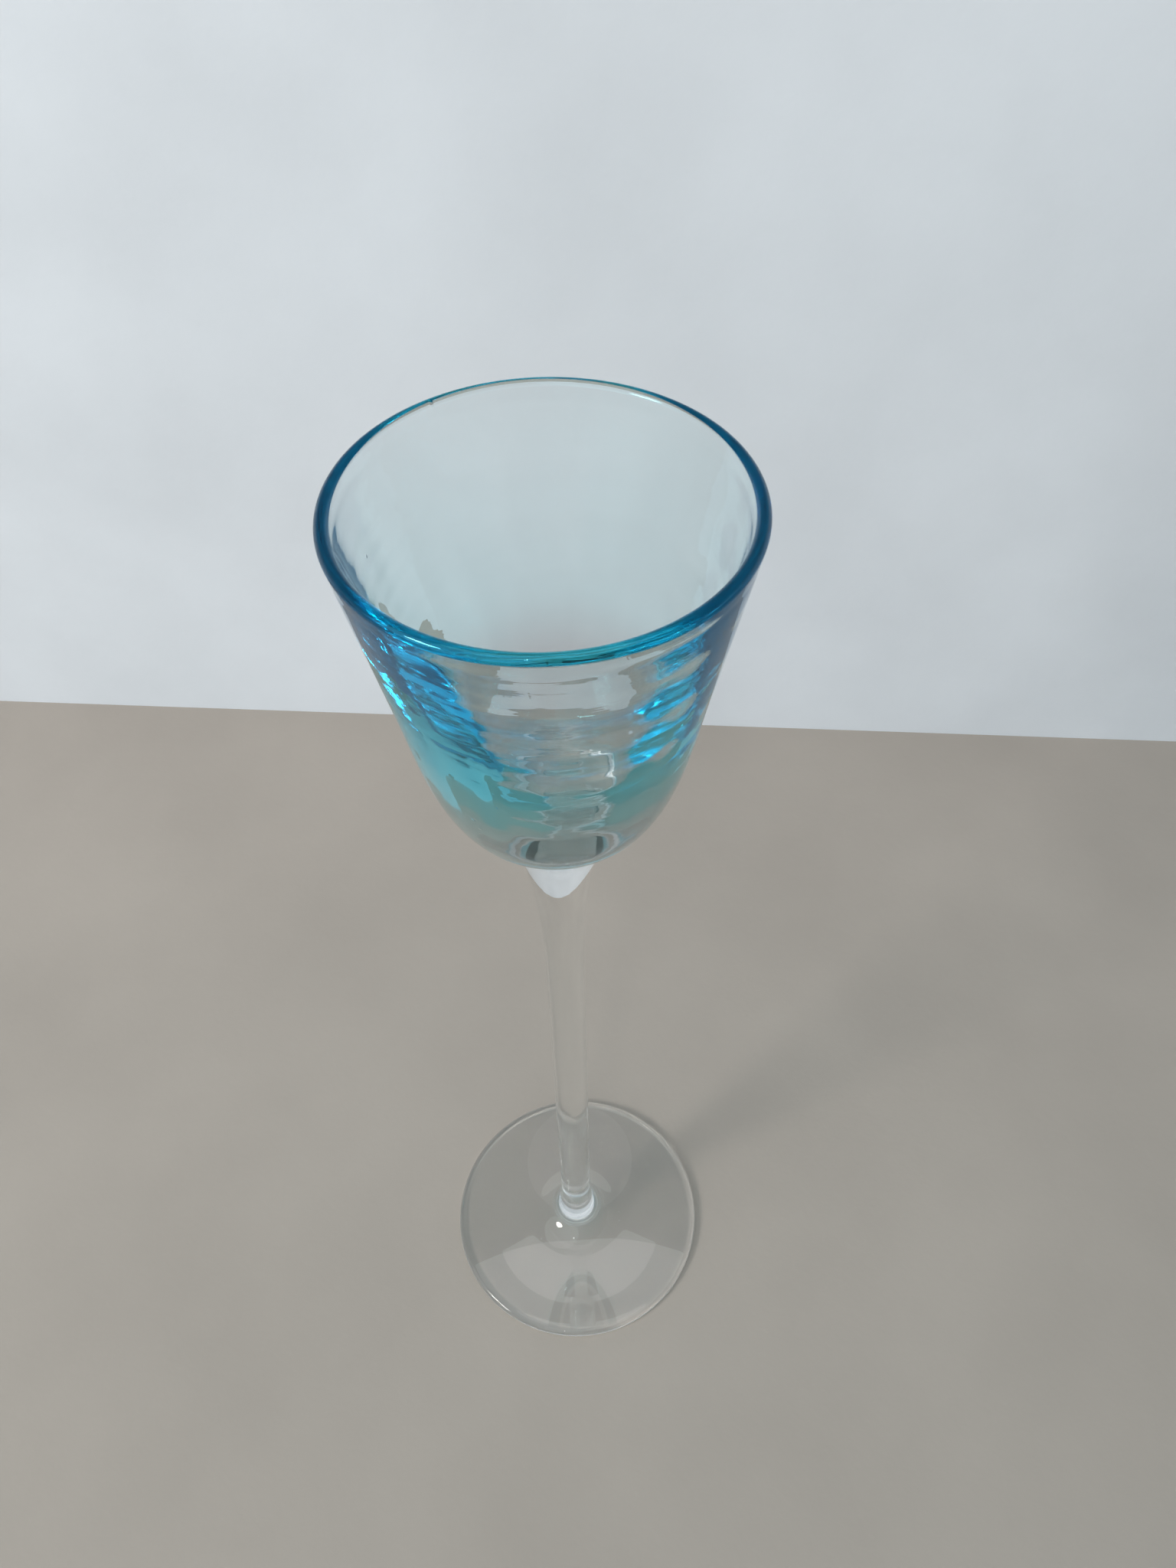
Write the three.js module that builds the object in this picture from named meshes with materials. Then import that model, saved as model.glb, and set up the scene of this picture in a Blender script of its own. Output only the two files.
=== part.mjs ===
// A tall stemmed drinking glass of three gathers: an aqua bowl, a clear drawn stem and a clear foot.
// The gathers are fused end to end on flat round seats, and every piece is turned about the same axis.
// Millimetres, +Z up the axis, origin at the middle of the ring that the foot rests on.
import * as THREE from 'three';

// Bowl
const RIM_DIAMETER = 58;
const RIM_WALL = 2;
const BOWL_HEIGHT = 61.4;
const SIDE_DEPTH = 28;
const SHOULDER_DIAMETER = 48.2;
const CUP_SIDE_DEPTH = 44;
const CUP_DIAMETER = 32;
const BASE_THICKNESS = 2.8;

// Stem
const STEM_LENGTH = 179.6;
const STEM_DIAMETER = 7.7;
const TRUMPET_LENGTH = 54;
const ANKLE_LENGTH = 14;

// Seats where the gathers are fused, and how steeply the outline runs through them
const BOWL_SEAT_DIAMETER = 26;
const BOWL_SEAT_ANGLE = THREE.MathUtils.degToRad(43);
const FOOT_SEAT_DIAMETER = 13;
const FOOT_SEAT_ANGLE = THREE.MathUtils.degToRad(45);

// Foot
const FOOT_DIAMETER = 67;
const FOOT_HEIGHT = 8;
const FOOT_EDGE = 2.6;
const FOOT_EDGE_ANGLE = THREE.MathUtils.degToRad(2.5);
const REST_WIDTH = 8;
const PUNT_RISE = 1.5;

// How far each end of a curve keeps its own direction, as a share of the room between the ends
const FULLNESS = {
  shoulder: 0.43,
  bowlBase: 0.71,
  cupSide: 0.5,
  cupFloor: 0.75,
  trumpetTop: 0.48,
  trumpetShank: 0.76,
  ankleShank: 0.5,
  ankleFoot: 0.45,
  footRim: 0.5,
  footCrown: 0.12,
  punt: 0.55,
};

// Facets round the axis, and steps along each curve of an outline
const FACETS = 48;
const CURVE_STEPS = 9;

// Heights and radii that follow from the sizes
const footSeatZ = FOOT_HEIGHT;
const bowlSeatZ = footSeatZ + STEM_LENGTH;
const rimZ = bowlSeatZ + BOWL_HEIGHT;
const bowlSeatR = BOWL_SEAT_DIAMETER / 2;
const footSeatR = FOOT_SEAT_DIAMETER / 2;
const stemR = STEM_DIAMETER / 2;

const aquaGlass = new THREE.MeshStandardMaterial({
  name: 'aqua_glass',
  color: 0x1f9fc4,
  roughness: 0.04,
  metalness: 0,
  transparent: true,
  opacity: 0.45,
});

const clearGlass = new THREE.MeshStandardMaterial({
  name: 'clear_glass',
  color: 0xdfe7e6,
  roughness: 0.04,
  metalness: 0,
  transparent: true,
  opacity: 0.3,
});

// Turns an outline of (radius, height) points about the axis. The outline starts and ends on the axis
// and runs up the outside, so that the faces point out.
function turned(name, outline, material) {
  const geometry = new THREE.LatheGeometry(outline.getPoints(CURVE_STEPS), FACETS);
  geometry.rotateX(Math.PI / 2);
  const mesh = new THREE.Mesh(geometry, material);
  mesh.name = name;
  return mesh;
}

// The angle about a round lip's centre at which a straight side that starts at a point touches the lip.
function touchAngle(centre, radius, point, turn) {
  const away = point.clone().sub(centre);
  return away.angle() + turn * Math.acos(radius / away.length());
}

// The bowl: flat seat, rounded base, straight flared side, full-round lip, and the cup inside it. The cup
// narrows faster than the outside does, so the wall thickens from the lip down.
function makeBowl() {
  const lipR = RIM_WALL / 2;
  const lip = new THREE.Vector2(RIM_DIAMETER / 2 - lipR, rimZ - lipR);
  const shoulderZ = rimZ - SIDE_DEPTH;
  const shoulder = new THREE.Vector2(SHOULDER_DIAMETER / 2, shoulderZ);
  const cupSideZ = rimZ - CUP_SIDE_DEPTH;
  const cupShoulder = new THREE.Vector2(CUP_DIAMETER / 2, cupSideZ);
  const cupFloorZ = bowlSeatZ + BASE_THICKNESS;

  const outerTouch = touchAngle(lip, lipR, shoulder, 1);
  const innerTouch = touchAngle(lip, lipR, cupShoulder, -1);
  const outerSlope = 1 / Math.tan(outerTouch + Math.PI / 2);
  const innerSlope = 1 / Math.tan(innerTouch + Math.PI / 2);

  const baseReach = FULLNESS.bowlBase * (shoulder.x - bowlSeatR);
  const shoulderReach = FULLNESS.shoulder * (shoulderZ - bowlSeatZ);
  const cupReach = FULLNESS.cupSide * (cupSideZ - cupFloorZ);

  const outline = new THREE.Path();
  outline.moveTo(0, bowlSeatZ);
  outline.lineTo(bowlSeatR, bowlSeatZ);
  outline.bezierCurveTo(
    bowlSeatR + baseReach, bowlSeatZ + baseReach * Math.tan(BOWL_SEAT_ANGLE),
    shoulder.x - shoulderReach * outerSlope, shoulderZ - shoulderReach,
    shoulder.x, shoulderZ,
  );
  outline.absarc(lip.x, lip.y, lipR, outerTouch, Math.PI / 2, false);
  outline.absarc(lip.x, lip.y, lipR, Math.PI / 2, innerTouch, false);
  outline.lineTo(cupShoulder.x, cupShoulder.y);
  outline.bezierCurveTo(
    cupShoulder.x - cupReach * innerSlope, cupSideZ - cupReach,
    FULLNESS.cupFloor * cupShoulder.x, cupFloorZ,
    0, cupFloorZ,
  );
  return turned('bowl', outline, aquaGlass);
}

// The stem: a short ankle on the foot, a slim straight shank, and a trumpet up to the bowl's seat.
function makeStem() {
  const ankleTopZ = footSeatZ + ANKLE_LENGTH;
  const trumpetZ = bowlSeatZ - TRUMPET_LENGTH;
  const ankleReach = FULLNESS.ankleFoot * (footSeatR - stemR);
  const trumpetReach = FULLNESS.trumpetTop * (bowlSeatR - stemR);

  const outline = new THREE.Path();
  outline.moveTo(0, footSeatZ);
  outline.lineTo(footSeatR, footSeatZ);
  outline.bezierCurveTo(
    footSeatR - ankleReach, footSeatZ + ankleReach * Math.tan(FOOT_SEAT_ANGLE),
    stemR, ankleTopZ - FULLNESS.ankleShank * ANKLE_LENGTH,
    stemR, ankleTopZ,
  );
  outline.lineTo(stemR, trumpetZ);
  outline.bezierCurveTo(
    stemR, trumpetZ + FULLNESS.trumpetShank * TRUMPET_LENGTH,
    bowlSeatR - trumpetReach, bowlSeatZ - trumpetReach * Math.tan(BOWL_SEAT_ANGLE),
    bowlSeatR, bowlSeatZ,
  );
  outline.lineTo(0, bowlSeatZ);
  return turned('stem', outline, clearGlass);
}

// The foot: a shallow hollow under it, a flat resting ring, a full-round edge and a crown up to the stem.
function makeFoot() {
  const edgeR = FOOT_EDGE / 2;
  const ringOuterR = FOOT_DIAMETER / 2 - edgeR;
  const ringInnerR = ringOuterR - REST_WIDTH;
  const crownRoom = ringOuterR - footSeatR;
  const rimReach = FULLNESS.footRim * crownRoom;
  const crownReach = FULLNESS.footCrown * crownRoom;

  const outline = new THREE.Path();
  outline.moveTo(0, PUNT_RISE);
  outline.bezierCurveTo(
    FULLNESS.punt * ringInnerR, PUNT_RISE,
    FULLNESS.punt * ringInnerR, PUNT_RISE * (1 - FULLNESS.punt),
    ringInnerR, 0,
  );
  outline.lineTo(ringOuterR, 0);
  outline.absarc(ringOuterR, edgeR, edgeR, -Math.PI / 2, Math.PI / 2, false);
  outline.bezierCurveTo(
    ringOuterR - rimReach, FOOT_EDGE + rimReach * Math.tan(FOOT_EDGE_ANGLE),
    footSeatR + crownReach, footSeatZ - crownReach * Math.tan(FOOT_SEAT_ANGLE),
    footSeatR, footSeatZ,
  );
  outline.lineTo(0, footSeatZ);
  return turned('foot', outline, clearGlass);
}

const stemmedGlass = new THREE.Group();
stemmedGlass.name = 'stemmed_glass';
stemmedGlass.add(makeBowl(), makeStem(), makeFoot());

export default stemmedGlass;
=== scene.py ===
"""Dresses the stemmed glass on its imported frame: smooth blown glass, a pale stage, soft light."""
import logging
import math
from dataclasses import dataclass
from enum import Enum
from typing import Any

import bpy
import numpy as np
from mathutils import Matrix, Vector


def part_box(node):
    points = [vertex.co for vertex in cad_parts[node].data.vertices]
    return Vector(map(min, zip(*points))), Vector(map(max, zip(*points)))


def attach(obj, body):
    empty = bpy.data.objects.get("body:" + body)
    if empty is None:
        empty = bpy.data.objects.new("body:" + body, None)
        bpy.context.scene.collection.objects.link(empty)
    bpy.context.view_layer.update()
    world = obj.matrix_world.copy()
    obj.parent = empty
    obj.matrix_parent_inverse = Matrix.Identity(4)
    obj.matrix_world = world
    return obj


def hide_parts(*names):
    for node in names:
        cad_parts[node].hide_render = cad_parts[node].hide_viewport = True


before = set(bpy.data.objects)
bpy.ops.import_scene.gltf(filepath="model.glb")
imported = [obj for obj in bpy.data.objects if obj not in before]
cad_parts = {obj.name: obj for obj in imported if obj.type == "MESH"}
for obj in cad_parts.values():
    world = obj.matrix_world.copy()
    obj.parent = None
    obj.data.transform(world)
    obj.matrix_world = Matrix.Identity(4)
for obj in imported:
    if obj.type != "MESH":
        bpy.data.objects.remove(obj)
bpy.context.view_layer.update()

LOG = logging.getLogger("stemmed_glass")
BODY = "root"
MM = 0.001

Point = tuple[float, float]
Span = tuple[float, float]
Colour = tuple[float, float, float]
Place = tuple[float, float, float]

BLACK: Colour = (0.0, 0.0, 0.0)
WHITE: Colour = (1.0, 1.0, 1.0)

# Steps along an outline, and the angle between two faces past which their edge stays sharp
SEAT_STEPS = 3
SHORT_CURVE_STEPS = 40
CURVE_STEPS = 60
SHARP_ANGLE = math.radians(40.0)

# How often light may turn: it runs along inside the bowl's wall for dozens of turns
ALL_BOUNCES = 48
GLASS_BOUNCES = 40


class Side(Enum):
    """Which face of the bowl's wall a row of points lies on."""

    OUTSIDE = "outside"
    INSIDE = "inside"


class Sock:
    """An output socket whose operators add Math nodes to its board."""

    def __init__(self, board: "NodeBoard", socket: bpy.types.NodeSocket) -> None:
        """Keeps the socket and the board that new nodes go on."""
        self.board = board
        self.socket = socket

    def _math(self, operation: str, first: Any, second: Any) -> "Sock":
        """Adds a Math node on two values, each a Sock or a number, and wraps its result."""
        return self.board.value(
            "ShaderNodeMath", {"operation": operation}, {0: first, 1: second})

    def __add__(self, other: Any) -> "Sock":
        """Sum of two values."""
        return self._math("ADD", self, other)

    def __radd__(self, other: Any) -> "Sock":
        """Sum of two values, the other first."""
        return self._math("ADD", other, self)

    def __sub__(self, other: Any) -> "Sock":
        """Difference of two values."""
        return self._math("SUBTRACT", self, other)

    def __rsub__(self, other: Any) -> "Sock":
        """Difference of two values, the other first."""
        return self._math("SUBTRACT", other, self)

    def __mul__(self, other: Any) -> "Sock":
        """Product of two values."""
        return self._math("MULTIPLY", self, other)

    def __rmul__(self, other: Any) -> "Sock":
        """Product of two values, the other first."""
        return self._math("MULTIPLY", other, self)

    def __truediv__(self, other: Any) -> "Sock":
        """Quotient of two values."""
        return self._math("DIVIDE", self, other)

    def __rtruediv__(self, other: Any) -> "Sock":
        """Quotient of two values, the other first."""
        return self._math("DIVIDE", other, self)

    def at_least(self, other: Any) -> "Sock":
        """The greater of two values."""
        return self._math("MAXIMUM", self, other)


class NodeBoard:
    """A node tree, emptied, with one method that adds any node."""

    def __init__(self, owner: Any) -> None:
        """Empties the tree of a material or a world.

        Args:
            owner: The material or world whose nodes are made here.
        """
        owner.use_nodes = True
        self.tree = owner.node_tree
        self.tree.nodes.clear()

    def add(self, kind: str, settings: dict[str, Any] | None = None,
            inputs: dict[Any, Any] | None = None) -> bpy.types.Node:
        """Adds a node, sets it up, then fills its sockets.

        Args:
            kind: Blender's name of the node type.
            settings: Values of the node itself; "stops" is a list of ramp stops.
            inputs: Values or links by socket name or number.

        Returns:
            The new node.
        """
        node = self.tree.nodes.new(kind)
        for name, value in (settings or {}).items():
            if name == "stops":
                self._stops(node, value)
            else:
                setattr(node, name, value)
        for key, value in (inputs or {}).items():
            socket = node.inputs[key]
            if isinstance(value, Sock):
                self.tree.links.new(value.socket, socket)
            elif isinstance(value, bpy.types.NodeSocket):
                self.tree.links.new(value, socket)
            else:
                socket.default_value = value
        return node

    def value(self, kind: str, settings: dict[str, Any] | None = None,
              inputs: dict[Any, Any] | None = None, output: Any = 0) -> Sock:
        """Adds a node and wraps one of its outputs.

        Args:
            kind: Blender's name of the node type.
            settings: Values of the node itself.
            inputs: Values or links by socket name or number.
            output: The output's name or number.

        Returns:
            The wrapped output.
        """
        return Sock(self, self.add(kind, settings, inputs).outputs[output])

    @staticmethod
    def _stops(node: bpy.types.Node, stops: list[tuple[float, Colour]]) -> None:
        """Sets the two stops of a colour ramp.

        Args:
            node: The ramp's node.
            stops: The place and the colour of each stop.
        """
        for element, (place, colour) in zip(node.color_ramp.elements, stops):
            element.position = place
            element.color = (*colour, 1.0)


@dataclass(frozen=True)
class GlassFinish:
    """Fire-polished glass, clear or tinted through its thickness, with drawn lines and smears."""

    name: str
    slot: str
    kept: Colour
    density: float
    ior: float = 1.52
    sheen: Colour = WHITE
    line_height: float = 0.004 * MM
    line_scale: Place = (40.0, 40.0, 800.0)
    line_detail: float = 2.0
    seed_height: float = 0.06 * MM
    seed_radius: float = 0.4 * MM
    seed_scale: float = 90.0
    smear_roughness: float = 0.03
    smear_scale: float = 55.0
    smear_detail: float = 5.0
    smear_span: Span = (0.55, 0.8)
    # Painted shade: the base colour is greyed and darkened low in the bowl and fades out up the
    # height, partly a weaker tint there
    base_tint_and_painted_shade: Colour | None = None
    tint_and_shade_span: Span = (0.0, 1.0)

    def material(self) -> bpy.types.Material:
        """Makes the finish.

        Light that crosses a metre of glass is kept by colour as the absorption says, so thick
        glass is deep and thin glass is pale.

        Returns:
            The new material.
        """
        material = bpy.data.materials.new(self.name)
        board = NodeBoard(material)
        place = board.value("ShaderNodeTexCoord", output="Object")
        skin = board.add("ShaderNodeBsdfPrincipled", {}, {
            # Base colour: plain white, or darker at the base with painted shade
            "Base Color": self._base_tint_and_shade(board, place),
            "Roughness": self._smears(board, place),
            "IOR": self.ior,
            "Specular Tint": (*self.sheen, 1.0),
            "Transmission Weight": 1.0,
            "Normal": self._relief(board, place),
        })
        tint = board.add("ShaderNodeVolumeAbsorption", {}, {
            "Color": (*self.kept, 1.0), "Density": self.density})
        board.add("ShaderNodeOutputMaterial", {}, {
            "Surface": skin.outputs[0], "Volume": tint.outputs[0]})
        return material

    def _relief(self, board: NodeBoard, place: Sock) -> Sock:
        """Lifts the surface into lines and seeds.

        Noise squeezed along the axis makes lines round the glass. Seeds, the tiny bubbles of
        worked glass, are cones round the few scattered points that lie near the surface.

        Args:
            board: The material's nodes.
            place: Object coordinates.

        Returns:
            The bumped normal.
        """
        drawn = board.value("ShaderNodeMapping", {}, {"Vector": place, "Scale": self.line_scale})
        lines = board.value("ShaderNodeTexNoise", {}, {
            "Vector": drawn, "Scale": 1.0, "Detail": self.line_detail})
        spread = board.value("ShaderNodeTexVoronoi", {}, {
            "Vector": place, "Scale": self.seed_scale}, "Distance")
        seeds = (1.0 - spread / (self.seed_radius * self.seed_scale)).at_least(0.0)
        height = lines * self.line_height + seeds * self.seed_height
        return board.value("ShaderNodeBump", {}, {
            "Strength": 1.0, "Distance": 1.0, "Height": height})

    def _smears(self, board: NodeBoard, place: Sock) -> Sock:
        """Roughens a few smears, where noise is high.

        Args:
            board: The material's nodes.
            place: Object coordinates.

        Returns:
            The roughness.
        """
        cloud = board.value("ShaderNodeTexNoise", {}, {
            "Vector": place, "Scale": self.smear_scale, "Detail": self.smear_detail})
        clean, smeared = self.smear_span
        mask = board.value("ShaderNodeValToRGB", {
            "stops": [(clean, BLACK), (smeared, WHITE)]}, {0: cloud})
        return mask * self.smear_roughness

    def _base_tint_and_shade(self, board: NodeBoard, place: Sock) -> Sock | tuple[float, ...]:
        """Greys and darkens the colour at the base, fading out evenly up the height: partly a
        weaker tint low in the glass, partly painted shade for the darker surroundings seen through
        the base.

        Args:
            board: The material's nodes.
            place: Object coordinates.

        Returns:
            The base colour with its painted shade, or plain white for a finish without one.
        """
        if self.base_tint_and_painted_shade is None:
            return (*WHITE, 1.0)
        rise = board.value("ShaderNodeSeparateXYZ", {}, {0: place}, "Z")
        low, high = self.tint_and_shade_span
        climb = board.value("ShaderNodeMapRange", {}, {
            "Value": rise, "From Min": low, "From Max": high})
        return board.value("ShaderNodeValToRGB", {
            "stops": [(0.0, self.base_tint_and_painted_shade), (1.0, WHITE)]}, {0: climb})


# The aqua glass is greyed and darkened at the base of the bowl: painted shade for the darker
# surroundings seen through it, partly a weaker tint there
AQUA_GLASS = GlassFinish(
    "aqua_glass", "aqua_glass", kept=(0.0, 0.82, 0.90), density=45.0, sheen=(0.35, 0.9, 1.0),
    line_height=0.008 * MM, base_tint_and_painted_shade=(0.86, 0.73, 0.72), tint_and_shade_span=(0.2045, 0.2155))
CLEAR_GLASS = GlassFinish("clear_glass", "clear_glass", kept=(0.75, 0.98, 0.95), density=3.0)


class Outline:
    """Points of (radius, height), in metres, that run up the outside of a turned piece."""

    def __init__(self, start: Point) -> None:
        """Starts the outline at a point."""
        self.runs = [np.array([start], dtype=float)]

    @property
    def end(self) -> np.ndarray:
        """The last point."""
        return self.runs[-1][-1]

    def line_to(self, end: Point, steps: int) -> None:
        """Goes straight to a point, in equal steps.

        Args:
            end: The point to reach.
            steps: How many equal steps to take.
        """
        share = np.linspace(0.0, 1.0, steps + 1)[1:, None]
        self.runs.append(self.end + share * (np.array(end) - self.end))

    def curve_to(self, leave: Point, arrive: Point, end: Point, steps: int) -> None:
        """Follows a cubic curve: the weights of its four points are those of Bernstein.

        Args:
            leave: The handle of the point it leaves.
            arrive: The handle of the point it reaches.
            end: The point it reaches.
            steps: How many steps to take.
        """
        t = np.linspace(0.0, 1.0, steps + 1)[1:, None]
        corners = [self.end, np.array(leave), np.array(arrive), np.array(end)]
        weights = [(1 - t) ** 3, 3 * t * (1 - t) ** 2, 3 * t ** 2 * (1 - t), t ** 3]
        self.runs.append(sum(w * c for w, c in zip(weights, corners)))

    def arc(self, centre: Point, radius: float, first: float, last: float, steps: int) -> None:
        """Follows a circle's arc: centre plus radius times the cosine and sine of an angle.

        Args:
            centre: The arc's centre.
            radius: The arc's radius.
            first: The angle it starts at, in radians.
            last: The angle it ends at, in radians.
            steps: How many steps to take.
        """
        angle = np.linspace(first, last, steps + 1)[:, None]
        self.runs.append(np.array(centre) + radius * np.hstack([np.cos(angle), np.sin(angle)]))

    def points(self) -> np.ndarray:
        """All the points, one row each."""
        return np.vstack(self.runs)


def around(columns: int) -> np.ndarray:
    """Equal angles round the axis, one for each column."""
    return np.linspace(0.0, 2.0 * math.pi, columns, endpoint=False)


def spread_round(points: np.ndarray, columns: int) -> tuple[np.ndarray, np.ndarray]:
    """Repeats an outline round the axis.

    Args:
        points: Points of (radius, height).
        columns: How many columns of points go round.

    Returns:
        Radii and heights, by row and column.
    """
    radius = np.repeat(points[:, :1], columns, axis=1)
    height = np.repeat(points[:, 1:], columns, axis=1)
    return radius, height


def turned_mesh(name: str, radius: np.ndarray, height: np.ndarray) -> bpy.types.Mesh:
    """Closes a grid of rings round the axis into a mesh.

    A point of row i and column j lies at its radius, turned by j shares of a full turn, at its
    height. The first and the last row are on the axis, and each becomes one point with a fan of
    triangles.

    Args:
        name: The mesh's name.
        radius: Radii by row and column, in metres.
        height: Heights by row and column, in metres.

    Returns:
        The closed mesh, smooth but for its sharp edges.
    """
    rows, columns = radius.shape
    angle = around(columns)
    grid = np.stack([radius * np.cos(angle), radius * np.sin(angle), height], axis=-1)
    rings = grid[1:-1].reshape(-1, 3)
    poles = np.array([[0.0, 0.0, height[0, 0]], [0.0, 0.0, height[-1, 0]]])
    vertices = np.vstack([rings, poles])
    here = np.arange(columns)
    beside = np.roll(here, -1)
    ring = (np.arange(rows - 3) * columns)[:, None]
    over = ring + columns
    quads = np.stack([ring + here, ring + beside, over + beside, over + here], axis=-1)
    low, high = len(rings), len(rings) + 1
    top = (rows - 3) * columns
    low_fan = np.stack([np.full(columns, low), beside, here], axis=-1)
    high_fan = np.stack([np.full(columns, high), top + here, top + beside], axis=-1)
    faces = quads.reshape(-1, 4).tolist() + low_fan.tolist() + high_fan.tolist()
    mesh = bpy.data.meshes.new(name)
    mesh.from_pydata(vertices.tolist(), [], faces)
    mesh.shade_smooth()
    mesh.set_sharp_from_angle(angle=SHARP_ANGLE)
    mesh.validate()
    return mesh


def add_piece(node: str, mesh: bpy.types.Mesh,
              material: bpy.types.Material) -> bpy.types.Object:
    """Puts a mesh into the scene in place of a solid of the frame.

    Args:
        node: The solid that it stands for.
        mesh: Its mesh, already in place, with the piece's name.
        material: The finish's material.

    Returns:
        The new piece.
    """
    piece = bpy.data.objects.new(mesh.name, mesh)
    bpy.context.scene.collection.objects.link(piece)
    mesh.materials.append(material)
    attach(piece, BODY)
    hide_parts(node)
    return piece


@dataclass
class Bowl:
    """The blown aqua cup: rounded base, flared side, full-round lip and the cup inside it."""

    rim_wall: float = 2.0 * MM
    side_depth: float = 28.0 * MM
    shoulder_diameter: float = 48.2 * MM
    cup_side_depth: float = 44.0 * MM
    cup_diameter: float = 32.0 * MM
    base_thickness: float = 2.8 * MM
    seat_diameter: float = 26.0 * MM
    seat_angle: float = math.radians(43.0)
    shoulder_fullness: float = 0.43
    base_fullness: float = 0.71
    cup_side_fullness: float = 0.84
    cup_floor_fullness: float = 0.97
    neck_depth: float = 0.04 * MM
    neck_place: float = 3.4 * MM
    neck_width: float = 0.9 * MM
    lean: float = 0.03
    lean_top: float = 28.0 * MM
    lean_end: float = 72.0 * MM
    lean_floor: float = 12.0 * MM
    panel: float = 0.04
    panel_depth: float = 12.0 * MM
    panel_power: int = 8
    ring_height: float = 0.05 * MM
    ring_pitch: float = 9.5 * MM
    ring_share: Span = (0.6, 0.4)
    ring_tilt: float = 1.3
    ring_tilt_start: float = 0.6
    ring_sway: float = 0.5
    ring_sways: int = 3
    rib_height: float = 0.06 * MM
    ribs: int = 15
    rib_sway: float = 0.35
    rib_sway_rings: int = 3
    fine_height: float = 0.014 * MM
    fine_pitch: float = 3.1 * MM
    fine_share: Span = (0.5, -0.4)
    fine_sway: float = 2.2
    fine_sways: int = 2
    wave_start: float = 1.6 * MM
    wave_rise: float = 8.0 * MM
    wave_floor: float = 11.2 * MM
    wave_fall: float = 7.0 * MM
    columns: int = 320
    side_steps: int = 90
    lip_steps: int = 12

    def __post_init__(self) -> None:
        """Takes the rim's size and the seat's height from the frame."""
        low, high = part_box("bowl")
        self.seat_z = low[2]
        self.rim_z = high[2]
        self.rim_radius = (high[0] - low[0]) / 2

    def outlines(self) -> dict[Side, np.ndarray]:
        """The wall's outline: up the outside to the lip's top, and down the inside to the floor.

        Straight sides touch the lip's circle; the rounded base and the cup's floor are cubic
        curves.

        Returns:
            Points of (radius, height) by side of the wall.
        """
        lip_radius = self.rim_wall / 2
        lip = np.array([self.rim_radius - lip_radius, self.rim_z - lip_radius])
        shoulder_z = self.rim_z - self.side_depth
        shoulder = np.array([self.shoulder_diameter / 2, shoulder_z])
        cup_z = self.rim_z - self.cup_side_depth
        cup_shoulder = np.array([self.cup_diameter / 2, cup_z])
        floor_z = self.seat_z + self.base_thickness
        seat_radius = self.seat_diameter / 2
        outer_touch = self._touch(lip, lip_radius, shoulder, 1.0) - 2 * math.pi
        inner_touch = self._touch(lip, lip_radius, cup_shoulder, -1.0)
        outer_slope = 1.0 / math.tan(outer_touch + math.pi / 2)
        inner_slope = 1.0 / math.tan(inner_touch + math.pi / 2)
        base_reach = self.base_fullness * (shoulder[0] - seat_radius)
        shoulder_reach = self.shoulder_fullness * (shoulder_z - self.seat_z)
        cup_reach = self.cup_side_fullness * (cup_z - floor_z)
        lip_start = lip + lip_radius * np.array([math.cos(outer_touch), math.sin(outer_touch)])
        outside = Outline((0.0, self.seat_z))
        outside.line_to((seat_radius, self.seat_z), SEAT_STEPS)
        outside.curve_to(
            (seat_radius + base_reach, self.seat_z + base_reach * math.tan(self.seat_angle)),
            (shoulder[0] - shoulder_reach * outer_slope, shoulder_z - shoulder_reach),
            tuple(shoulder), CURVE_STEPS)
        outside.line_to(tuple(lip_start), self.side_steps)
        outside.arc(tuple(lip), lip_radius, outer_touch, math.pi / 2, self.lip_steps)
        inside = Outline((lip[0], self.rim_z))
        inside.arc(tuple(lip), lip_radius, math.pi / 2, inner_touch, self.lip_steps)
        inside.line_to(tuple(cup_shoulder), CURVE_STEPS)
        inside.curve_to(
            (cup_shoulder[0] - cup_reach * inner_slope, cup_z - cup_reach),
            (self.cup_floor_fullness * cup_shoulder[0], floor_z),
            (0.0, floor_z), CURVE_STEPS)
        # The inside's first two points are the lip's top, which the outside already has.
        return {Side.OUTSIDE: outside.points(), Side.INSIDE: inside.points()[2:]}

    @staticmethod
    def _touch(centre: np.ndarray, radius: float, point: np.ndarray, turn: float) -> float:
        """Finds where a line from a point touches a circle.

        The touching radius, the line and the way to the centre make a right-angled triangle.

        Args:
            centre: The circle's centre.
            radius: The circle's radius.
            point: Where the line starts.
            turn: 1 or -1, for the touch on one side or the other.

        Returns:
            The angle of the touch about the centre, in radians.
        """
        away = point - centre
        heading = math.atan2(away[1], away[0]) % (2 * math.pi)
        return heading + turn * math.acos(radius / math.hypot(*away))

    def neck(self, points: np.ndarray) -> np.ndarray:
        """How far the outside is drawn in under the lip: a bell curve of the depth.

        Args:
            points: Points of (radius, height) of the outside.

        Returns:
            What is taken off the radius, in metres, by row.
        """
        depth = self.rim_z - points[:, 1]
        return self.neck_depth * np.exp(-((depth - self.neck_place) / self.neck_width) ** 2)

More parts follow.
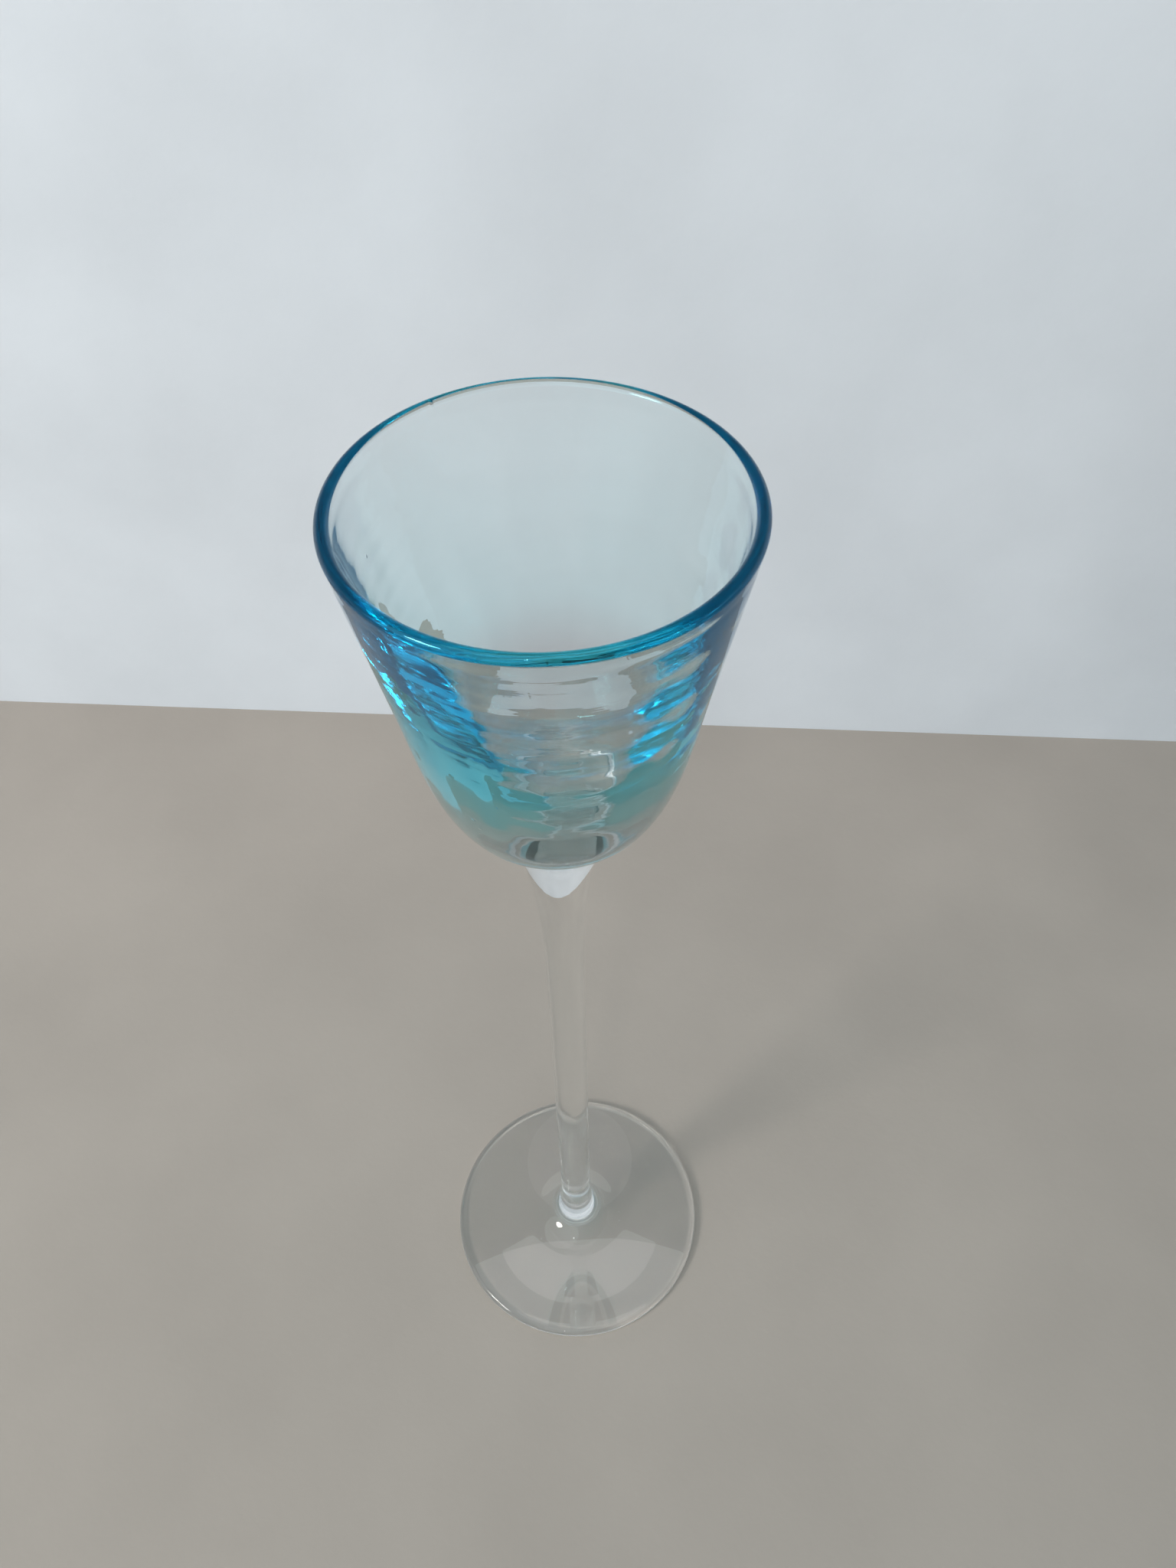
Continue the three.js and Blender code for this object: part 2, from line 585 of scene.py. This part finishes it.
    def lean_and_panel(self, points: np.ndarray, angle: np.ndarray) -> np.ndarray:
        """How far the cup leans, and stands steeper under the lip at the front and the back.

        The lean goes with the cosine of the angle, grows evenly with depth, and is taken back
        smoothly in the lower half. The steeper panels go with a high power of the angle's sine.
        Both fade out on the cup's floor.

        Args:
            points: Points of (radius, height) of the inside.
            angle: Angles of the columns.

        Returns:
            What is added to the radius, in metres, by row and column.
        """
        depth = self.rim_z - points[:, 1:]
        low = np.clip((depth - self.lean_top) / (self.lean_end - self.lean_top), 0.0, 1.0)
        lean = self.lean * depth * (1.0 - low * low * (3.0 - 2.0 * low)) * np.cos(angle)
        drop = self.panel_depth * np.tanh(depth / self.panel_depth)
        panel = self.panel * drop * np.sin(angle) ** self.panel_power
        off_floor = np.clip(points[:, :1] / self.lean_floor, 0.0, 1.0) ** 2
        return (lean + panel) * off_floor

    def waves(self, points: np.ndarray, angle: np.ndarray) -> np.ndarray:
        """How far rings, upright ribs and fine rings lift the cup's face.

        Each is a sine, of the depth or of the angle, that sways with the other. They fade in
        below the lip and out towards the floor.

        Args:
            points: Points of (radius, height) of the inside.
            angle: Angles of the columns.

        Returns:
            What is added to the radius, in metres, by row and column.
        """
        depth = self.rim_z - points[:, 1:]
        turn = 2 * math.pi * depth / self.ring_pitch
        fine_turn = 2 * math.pi * depth / self.fine_pitch
        even, uneven = self.ring_share
        ring_strength = self.ring_height * (even + uneven * np.cos(angle))
        tilt = self.ring_tilt * np.sin(angle + self.ring_tilt_start)
        sway = self.ring_sway * np.sin(self.ring_sways * angle)
        rings = ring_strength * np.sin(turn + tilt + sway)
        rib_sway = self.rib_sway * np.sin(turn / self.rib_sway_rings)
        ribs = self.rib_height * np.sin(self.ribs * angle + rib_sway)
        even, uneven = self.fine_share
        fine_strength = self.fine_height * (even + uneven * np.cos(angle))
        fine_sway = self.fine_sway * np.sin(self.fine_sways * angle)
        fine = fine_strength * np.sin(fine_turn + fine_sway)
        below_lip = np.clip((depth - self.wave_start) / self.wave_rise, 0.0, 1.0)
        off_floor = np.clip((points[:, :1] - self.wave_floor) / self.wave_fall, 0.0, 1.0)
        return (rings + ribs + fine) * below_lip * off_floor

    def build(self, finish: GlassFinish, material: bpy.types.Material) -> bpy.types.Object:
        """Makes the bowl and dresses it.

        Args:
            finish: The finish it takes; not used here.
            material: The finish's material.

        Returns:
            The new piece.
        """
        outlines = self.outlines()
        outside, inside = outlines[Side.OUTSIDE], outlines[Side.INSIDE]
        outside[:, 0] -= self.neck(outside)
        radius, height = spread_round(np.vstack([outside, inside]), self.columns)
        angle = around(self.columns)
        radius[len(outside):] += self.lean_and_panel(inside, angle) + self.waves(inside, angle)
        return add_piece("bowl", turned_mesh("blown_bowl", radius, height), material)


@dataclass
class Stem:
    """The drawn clear stem: a short ankle on the foot, a slim shank and a trumpet to the bowl."""

    diameter: float = 7.7 * MM
    trumpet_length: float = 54.0 * MM
    ankle_length: float = 14.0 * MM
    foot_seat_diameter: float = 13.0 * MM
    bowl_seat_angle: float = math.radians(43.0)
    foot_seat_angle: float = math.radians(45.0)
    trumpet_top_fullness: float = 0.48
    trumpet_shank_fullness: float = 0.76
    ankle_shank_fullness: float = 0.5
    ankle_foot_fullness: float = 0.45
    sink: float = 0.05 * MM
    columns: int = 160

    def __post_init__(self) -> None:
        """Takes the seats' heights and the upper seat's size from the frame."""
        low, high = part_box("stem")
        self.low_z = low[2]
        self.high_z = high[2]
        self.bowl_seat_radius = (high[0] - low[0]) / 2

    def outline(self) -> np.ndarray:
        """The stem's outline, from the foot's seat up to the bowl's seat.

        The shank is straight. The ankle and the trumpet are cubic curves that leave the shank
        upright and meet the seats at their angles. Both ends sink a little into what they meet.

        Returns:
            Points of (radius, height).
        """
        shank = self.diameter / 2
        seat = self.foot_seat_diameter / 2
        ankle_z = self.low_z + self.ankle_length
        trumpet_z = self.high_z - self.trumpet_length
        ankle_reach = self.ankle_foot_fullness * (seat - shank)
        trumpet_reach = self.trumpet_top_fullness * (self.bowl_seat_radius - shank)
        outline = Outline((0.0, self.low_z - self.sink))
        outline.line_to((seat, self.low_z - self.sink), SEAT_STEPS)
        outline.curve_to(
            (seat - ankle_reach, self.low_z + ankle_reach * math.tan(self.foot_seat_angle)),
            (shank, ankle_z - self.ankle_shank_fullness * self.ankle_length),
            (shank, ankle_z), SHORT_CURVE_STEPS)
        outline.line_to((shank, trumpet_z), CURVE_STEPS)
        outline.curve_to(
            (shank, trumpet_z + self.trumpet_shank_fullness * self.trumpet_length),
            (self.bowl_seat_radius - trumpet_reach,
             self.high_z - trumpet_reach * math.tan(self.bowl_seat_angle)),
            (self.bowl_seat_radius, self.high_z + self.sink), CURVE_STEPS)
        outline.line_to((0.0, self.high_z + self.sink), SEAT_STEPS)
        return outline.points()

    def build(self, finish: GlassFinish, material: bpy.types.Material) -> bpy.types.Object:
        """Makes the stem and dresses it.

        Args:
            finish: The finish it takes; not used here.
            material: The finish's material.

        Returns:
            The new piece.
        """
        radius, height = spread_round(self.outline(), self.columns)
        return add_piece("stem", turned_mesh("drawn_stem", radius, height), material)


@dataclass
class Foot:
    """The pressed clear foot: a hollow under it, a flat resting ring, a round edge, a low crown."""

    edge: float = 2.6 * MM
    edge_angle: float = math.radians(2.5)
    seat_diameter: float = 13.0 * MM
    seat_angle: float = math.radians(45.0)
    rest_width: float = 8.0 * MM
    punt_rise: float = 1.5 * MM
    rim_fullness: float = 0.5
    crown_fullness: float = 0.12
    punt_fullness: float = 0.55
    columns: int = 256
    ring_steps: int = 4
    edge_steps: int = 24

    def __post_init__(self) -> None:
        """Takes the foot's radius and height from the frame."""
        low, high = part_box("foot")
        self.radius = (high[0] - low[0]) / 2
        self.low_z = low[2]
        self.high_z = high[2]

    def outline(self) -> np.ndarray:
        """The foot's outline, from under its middle out to the edge and up to the stem's seat.

        The hollow and the crown are cubic curves, and the edge is half a circle.

        Returns:
            Points of (radius, height).
        """
        edge_radius = self.edge / 2
        ring_outer = self.radius - edge_radius
        ring_inner = ring_outer - self.rest_width
        seat = self.seat_diameter / 2
        room = ring_outer - seat
        rim_reach = self.rim_fullness * room
        crown_reach = self.crown_fullness * room
        punt_reach = self.punt_fullness * ring_inner
        outline = Outline((0.0, self.low_z + self.punt_rise))
        outline.curve_to(
            (punt_reach, self.low_z + self.punt_rise),
            (punt_reach, self.low_z + self.punt_rise * (1 - self.punt_fullness)),
            (ring_inner, self.low_z), SHORT_CURVE_STEPS)
        outline.line_to((ring_outer, self.low_z), self.ring_steps)
        outline.arc((ring_outer, self.low_z + edge_radius), edge_radius,
                    -math.pi / 2, math.pi / 2, self.edge_steps)
        outline.curve_to(
            (ring_outer - rim_reach,
             self.low_z + self.edge + rim_reach * math.tan(self.edge_angle)),
            (seat + crown_reach, self.high_z - crown_reach * math.tan(self.seat_angle)),
            (seat, self.high_z), CURVE_STEPS)
        outline.line_to((0.0, self.high_z), SEAT_STEPS)
        return outline.points()

    def build(self, finish: GlassFinish, material: bpy.types.Material) -> bpy.types.Object:
        """Makes the foot and dresses it.

        Args:
            finish: The finish it takes; not used here.
            material: The finish's material.

        Returns:
            The new piece.
        """
        radius, height = spread_round(self.outline(), self.columns)
        return add_piece("foot", turned_mesh("pressed_foot", radius, height), material)


@dataclass(frozen=True)
class MattFinish:
    """A matt, faintly mottled finish for a sheet of the stage."""

    name: str
    colour: Colour
    one_sided: bool = False
    cloud_scale: float = 14.0
    cloud_detail: float = 4.0
    cloud_span: Span = (0.3, 0.7)
    mottle: Span = (0.95, 1.05)
    grain_scale: float = 420.0
    grain_detail: float = 2.0
    grain_strength: float = 0.15
    grain_height: float = 0.4 * MM
    roughness: float = 0.9
    gloss: float = 0.2

    def material(self) -> bpy.types.Material:
        """Makes the finish: coarse noise mottles the colour, and fine noise grains the surface.

        The back of a one-sided sheet can be seen through.

        Returns:
            The new material.
        """
        material = bpy.data.materials.new(self.name)
        board = NodeBoard(material)
        place = board.value("ShaderNodeTexCoord", output="Object")
        cloud = board.value("ShaderNodeTexNoise", {}, {
            "Vector": place, "Scale": self.cloud_scale, "Detail": self.cloud_detail})
        grain = board.value("ShaderNodeTexNoise", {}, {
            "Vector": place, "Scale": self.grain_scale, "Detail": self.grain_detail})
        darker, lighter = [tuple(level * part for part in self.colour) for level in self.mottle]
        low, high = self.cloud_span
        mottle = board.value("ShaderNodeValToRGB", {
            "stops": [(low, darker), (high, lighter)]}, {0: cloud})
        bump = board.value("ShaderNodeBump", {}, {
            "Strength": self.grain_strength, "Distance": self.grain_height, "Height": grain})
        skin = board.add("ShaderNodeBsdfPrincipled", {}, {
            "Base Color": mottle, "Roughness": self.roughness,
            "Specular IOR Level": self.gloss, "Normal": bump})
        surface = skin.outputs[0]
        if self.one_sided:
            behind = board.value("ShaderNodeNewGeometry", output="Backfacing")
            clear = board.add("ShaderNodeBsdfTransparent")
            surface = board.add("ShaderNodeMixShader", {}, {
                0: behind, 1: surface, 2: clear.outputs[0]}).outputs[0]
        board.add("ShaderNodeOutputMaterial", {}, {"Surface": surface})
        return material


@dataclass(frozen=True)
class Lamp:
    """A round flat lamp that faces the glass."""

    name: str
    place: Place
    size: float
    power: float
    colour: Colour
    aim: Place = (0.0, 0.0, 0.12)

    def build(self) -> None:
        """Makes the lamp and turns it to its aim."""
        light = bpy.data.lights.new(self.name, "AREA")
        light.shape = "DISK"
        light.size = self.size
        light.energy = self.power
        light.color = self.colour
        lamp = bpy.data.objects.new(self.name, light)
        bpy.context.scene.collection.objects.link(lamp)
        lamp.location = self.place
        ahead = Vector(self.aim) - lamp.location
        lamp.rotation_euler = ahead.to_track_quat("-Z", "Y").to_euler()


@dataclass
class Stage:
    """A plain pale floor, a plain pale wall behind it, soft light and the camera."""

    floor: MattFinish = MattFinish("pale_floor", (0.39, 0.34, 0.30))
    wall: MattFinish = MattFinish("pale_wall", (0.72, 0.75, 0.79), one_sided=True)
    reach: float = 3.0
    floor_drop: float = 0.02 * MM
    wall_distance: float = 0.1932
    wall_turn: float = math.radians(-6.38)
    wall_height: float = 0.28
    sky_low: float = 0.68
    sky_high: float = 0.32
    sky_low_colour: Colour = (0.93, 0.96, 1.0)
    sky_high_colour: Colour = (0.55, 0.88, 1.0)
    sky_span: Span = (0.1, 0.5)
    lamps: tuple[Lamp, ...] = (
        Lamp("key_lamp", (-0.949, -0.537, 0.831), 0.36, 7.5, (1.0, 0.97, 0.93)),
        Lamp("soft_lamp", (-0.80, -0.78, 0.95), 2.0, 9.0, (0.97, 0.99, 1.0)),
        Lamp("overhead_lamp", (0.0, -0.1, 1.5), 1.2, 4.5, WHITE),
        Lamp("front_lamp", (-0.18, -0.75, 1.35), 0.04, 0.5, (1.0, 0.98, 0.95)),
    )
    camera_back: float = 0.12416
    camera_up: float = 0.34180
    camera_tilt: float = math.radians(50.253)
    camera_pan: float = math.radians(2.3686)
    camera_roll: float = math.radians(-0.970)
    camera_lens: float = 27.344
    camera_sensor: float = 36.0
    camera_near: float = 0.01

    def sheet(self, finish: MattFinish, corners: np.ndarray) -> None:
        """Adds a flat four-cornered sheet to the stage.

        Args:
            finish: Its finish, which gives it its name.
            corners: Its corners in order, one row each.
        """
        mesh = bpy.data.meshes.new(finish.name)
        mesh.from_pydata(corners.tolist(), [], [(0, 1, 2, 3)])
        mesh.materials.append(finish.material())
        sheet = bpy.data.objects.new(finish.name, mesh)
        bpy.context.scene.collection.objects.link(sheet)

    def build_sheets(self) -> None:
        """Makes the floor, just under the foot, and the wall that stands on it behind the glass."""
        r, z = self.reach, -self.floor_drop
        self.sheet(self.floor, np.array([[-r, -r, z], [r, -r, z], [r, r, z], [-r, r, z]]))
        along = r * np.array([math.cos(self.wall_turn), math.sin(self.wall_turn), 0.0])
        middle = np.array([0.0, self.wall_distance, 0.0])
        up = np.array([0.0, 0.0, self.wall_height])
        left, right = middle - along, middle + along
        self.sheet(self.wall, np.array([left, right, right + up, left + up]))

    def build_light(self) -> None:
        """Makes the sky, paler near the horizon and bluer overhead, and the lamps."""
        world = bpy.data.worlds.new("soft_sky")
        bpy.context.scene.world = world
        board = NodeBoard(world)
        aim = board.value("ShaderNodeTexCoord", output="Generated")
        rise = board.value("ShaderNodeSeparateXYZ", {}, {0: aim}, "Z")
        climb = board.value("ShaderNodeMapRange", {"interpolation_type": "SMOOTHSTEP"}, {
            "Value": rise, "From Min": self.sky_span[0], "From Max": self.sky_span[1]})
        low = tuple(self.sky_low * part for part in self.sky_low_colour)
        high = tuple(self.sky_high * part for part in self.sky_high_colour)
        shade = board.value("ShaderNodeValToRGB", {"stops": [(0.0, low), (1.0, high)]}, {0: climb})
        sky = board.add("ShaderNodeBackground", {}, {"Color": shade, "Strength": 1.0})
        board.add("ShaderNodeOutputWorld", {}, {"Surface": sky.outputs[0]})
        for lamp in self.lamps:
            lamp.build()

    def build_camera(self) -> None:
        """Makes the camera, tilted down over the rim as in the photograph.

        The view's direction comes from the pan and the tilt, and its right and up are turned by
        the roll.
        """
        tilt, pan, roll = self.camera_tilt, self.camera_pan, self.camera_roll
        level = math.cos(tilt)
        ahead = Vector((math.sin(pan) * level, math.cos(pan) * level, -math.sin(tilt)))
        right = Vector((math.cos(pan), -math.sin(pan), 0.0))
        up = right.cross(ahead)
        turned_right = right * math.cos(roll) + up * math.sin(roll)
        turned_up = up * math.cos(roll) - right * math.sin(roll)
        lens = bpy.data.cameras.new("camera")
        lens.lens = self.camera_lens
        lens.sensor_width = self.camera_sensor
        lens.clip_start = self.camera_near
        camera = bpy.data.objects.new("camera", lens)
        bpy.context.scene.collection.objects.link(camera)
        basis = Matrix((turned_right, turned_up, -ahead)).transposed().to_4x4()
        camera.matrix_world = Matrix.Translation((0.0, -self.camera_back, self.camera_up)) @ basis
        bpy.context.scene.camera = camera


def set_view() -> None:
    """Sets the plain colour view and lets sharp light cross the glass many times."""
    scene = bpy.context.scene
    scene.view_settings.view_transform = "Standard"
    scene.cycles.blur_glossy = 0.0
    scene.cycles.max_bounces = ALL_BOUNCES
    scene.cycles.glossy_bounces = GLASS_BOUNCES
    scene.cycles.transmission_bounces = GLASS_BOUNCES


def main() -> None:
    """Builds the stage and the glass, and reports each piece."""
    logging.basicConfig(level=logging.INFO)
    stage = Stage()
    stage.build_camera()
    stage.build_sheets()
    stage.build_light()
    set_view()
    aqua = AQUA_GLASS.material()
    clear = CLEAR_GLASS.material()
    pieces = [
        Bowl().build(AQUA_GLASS, aqua),
        Stem().build(CLEAR_GLASS, clear),
        Foot().build(CLEAR_GLASS, clear),
    ]
    for piece in pieces:
        LOG.info("%s: %d faces", piece.name, len(piece.data.polygons))


if __name__ == "__main__":
    main()
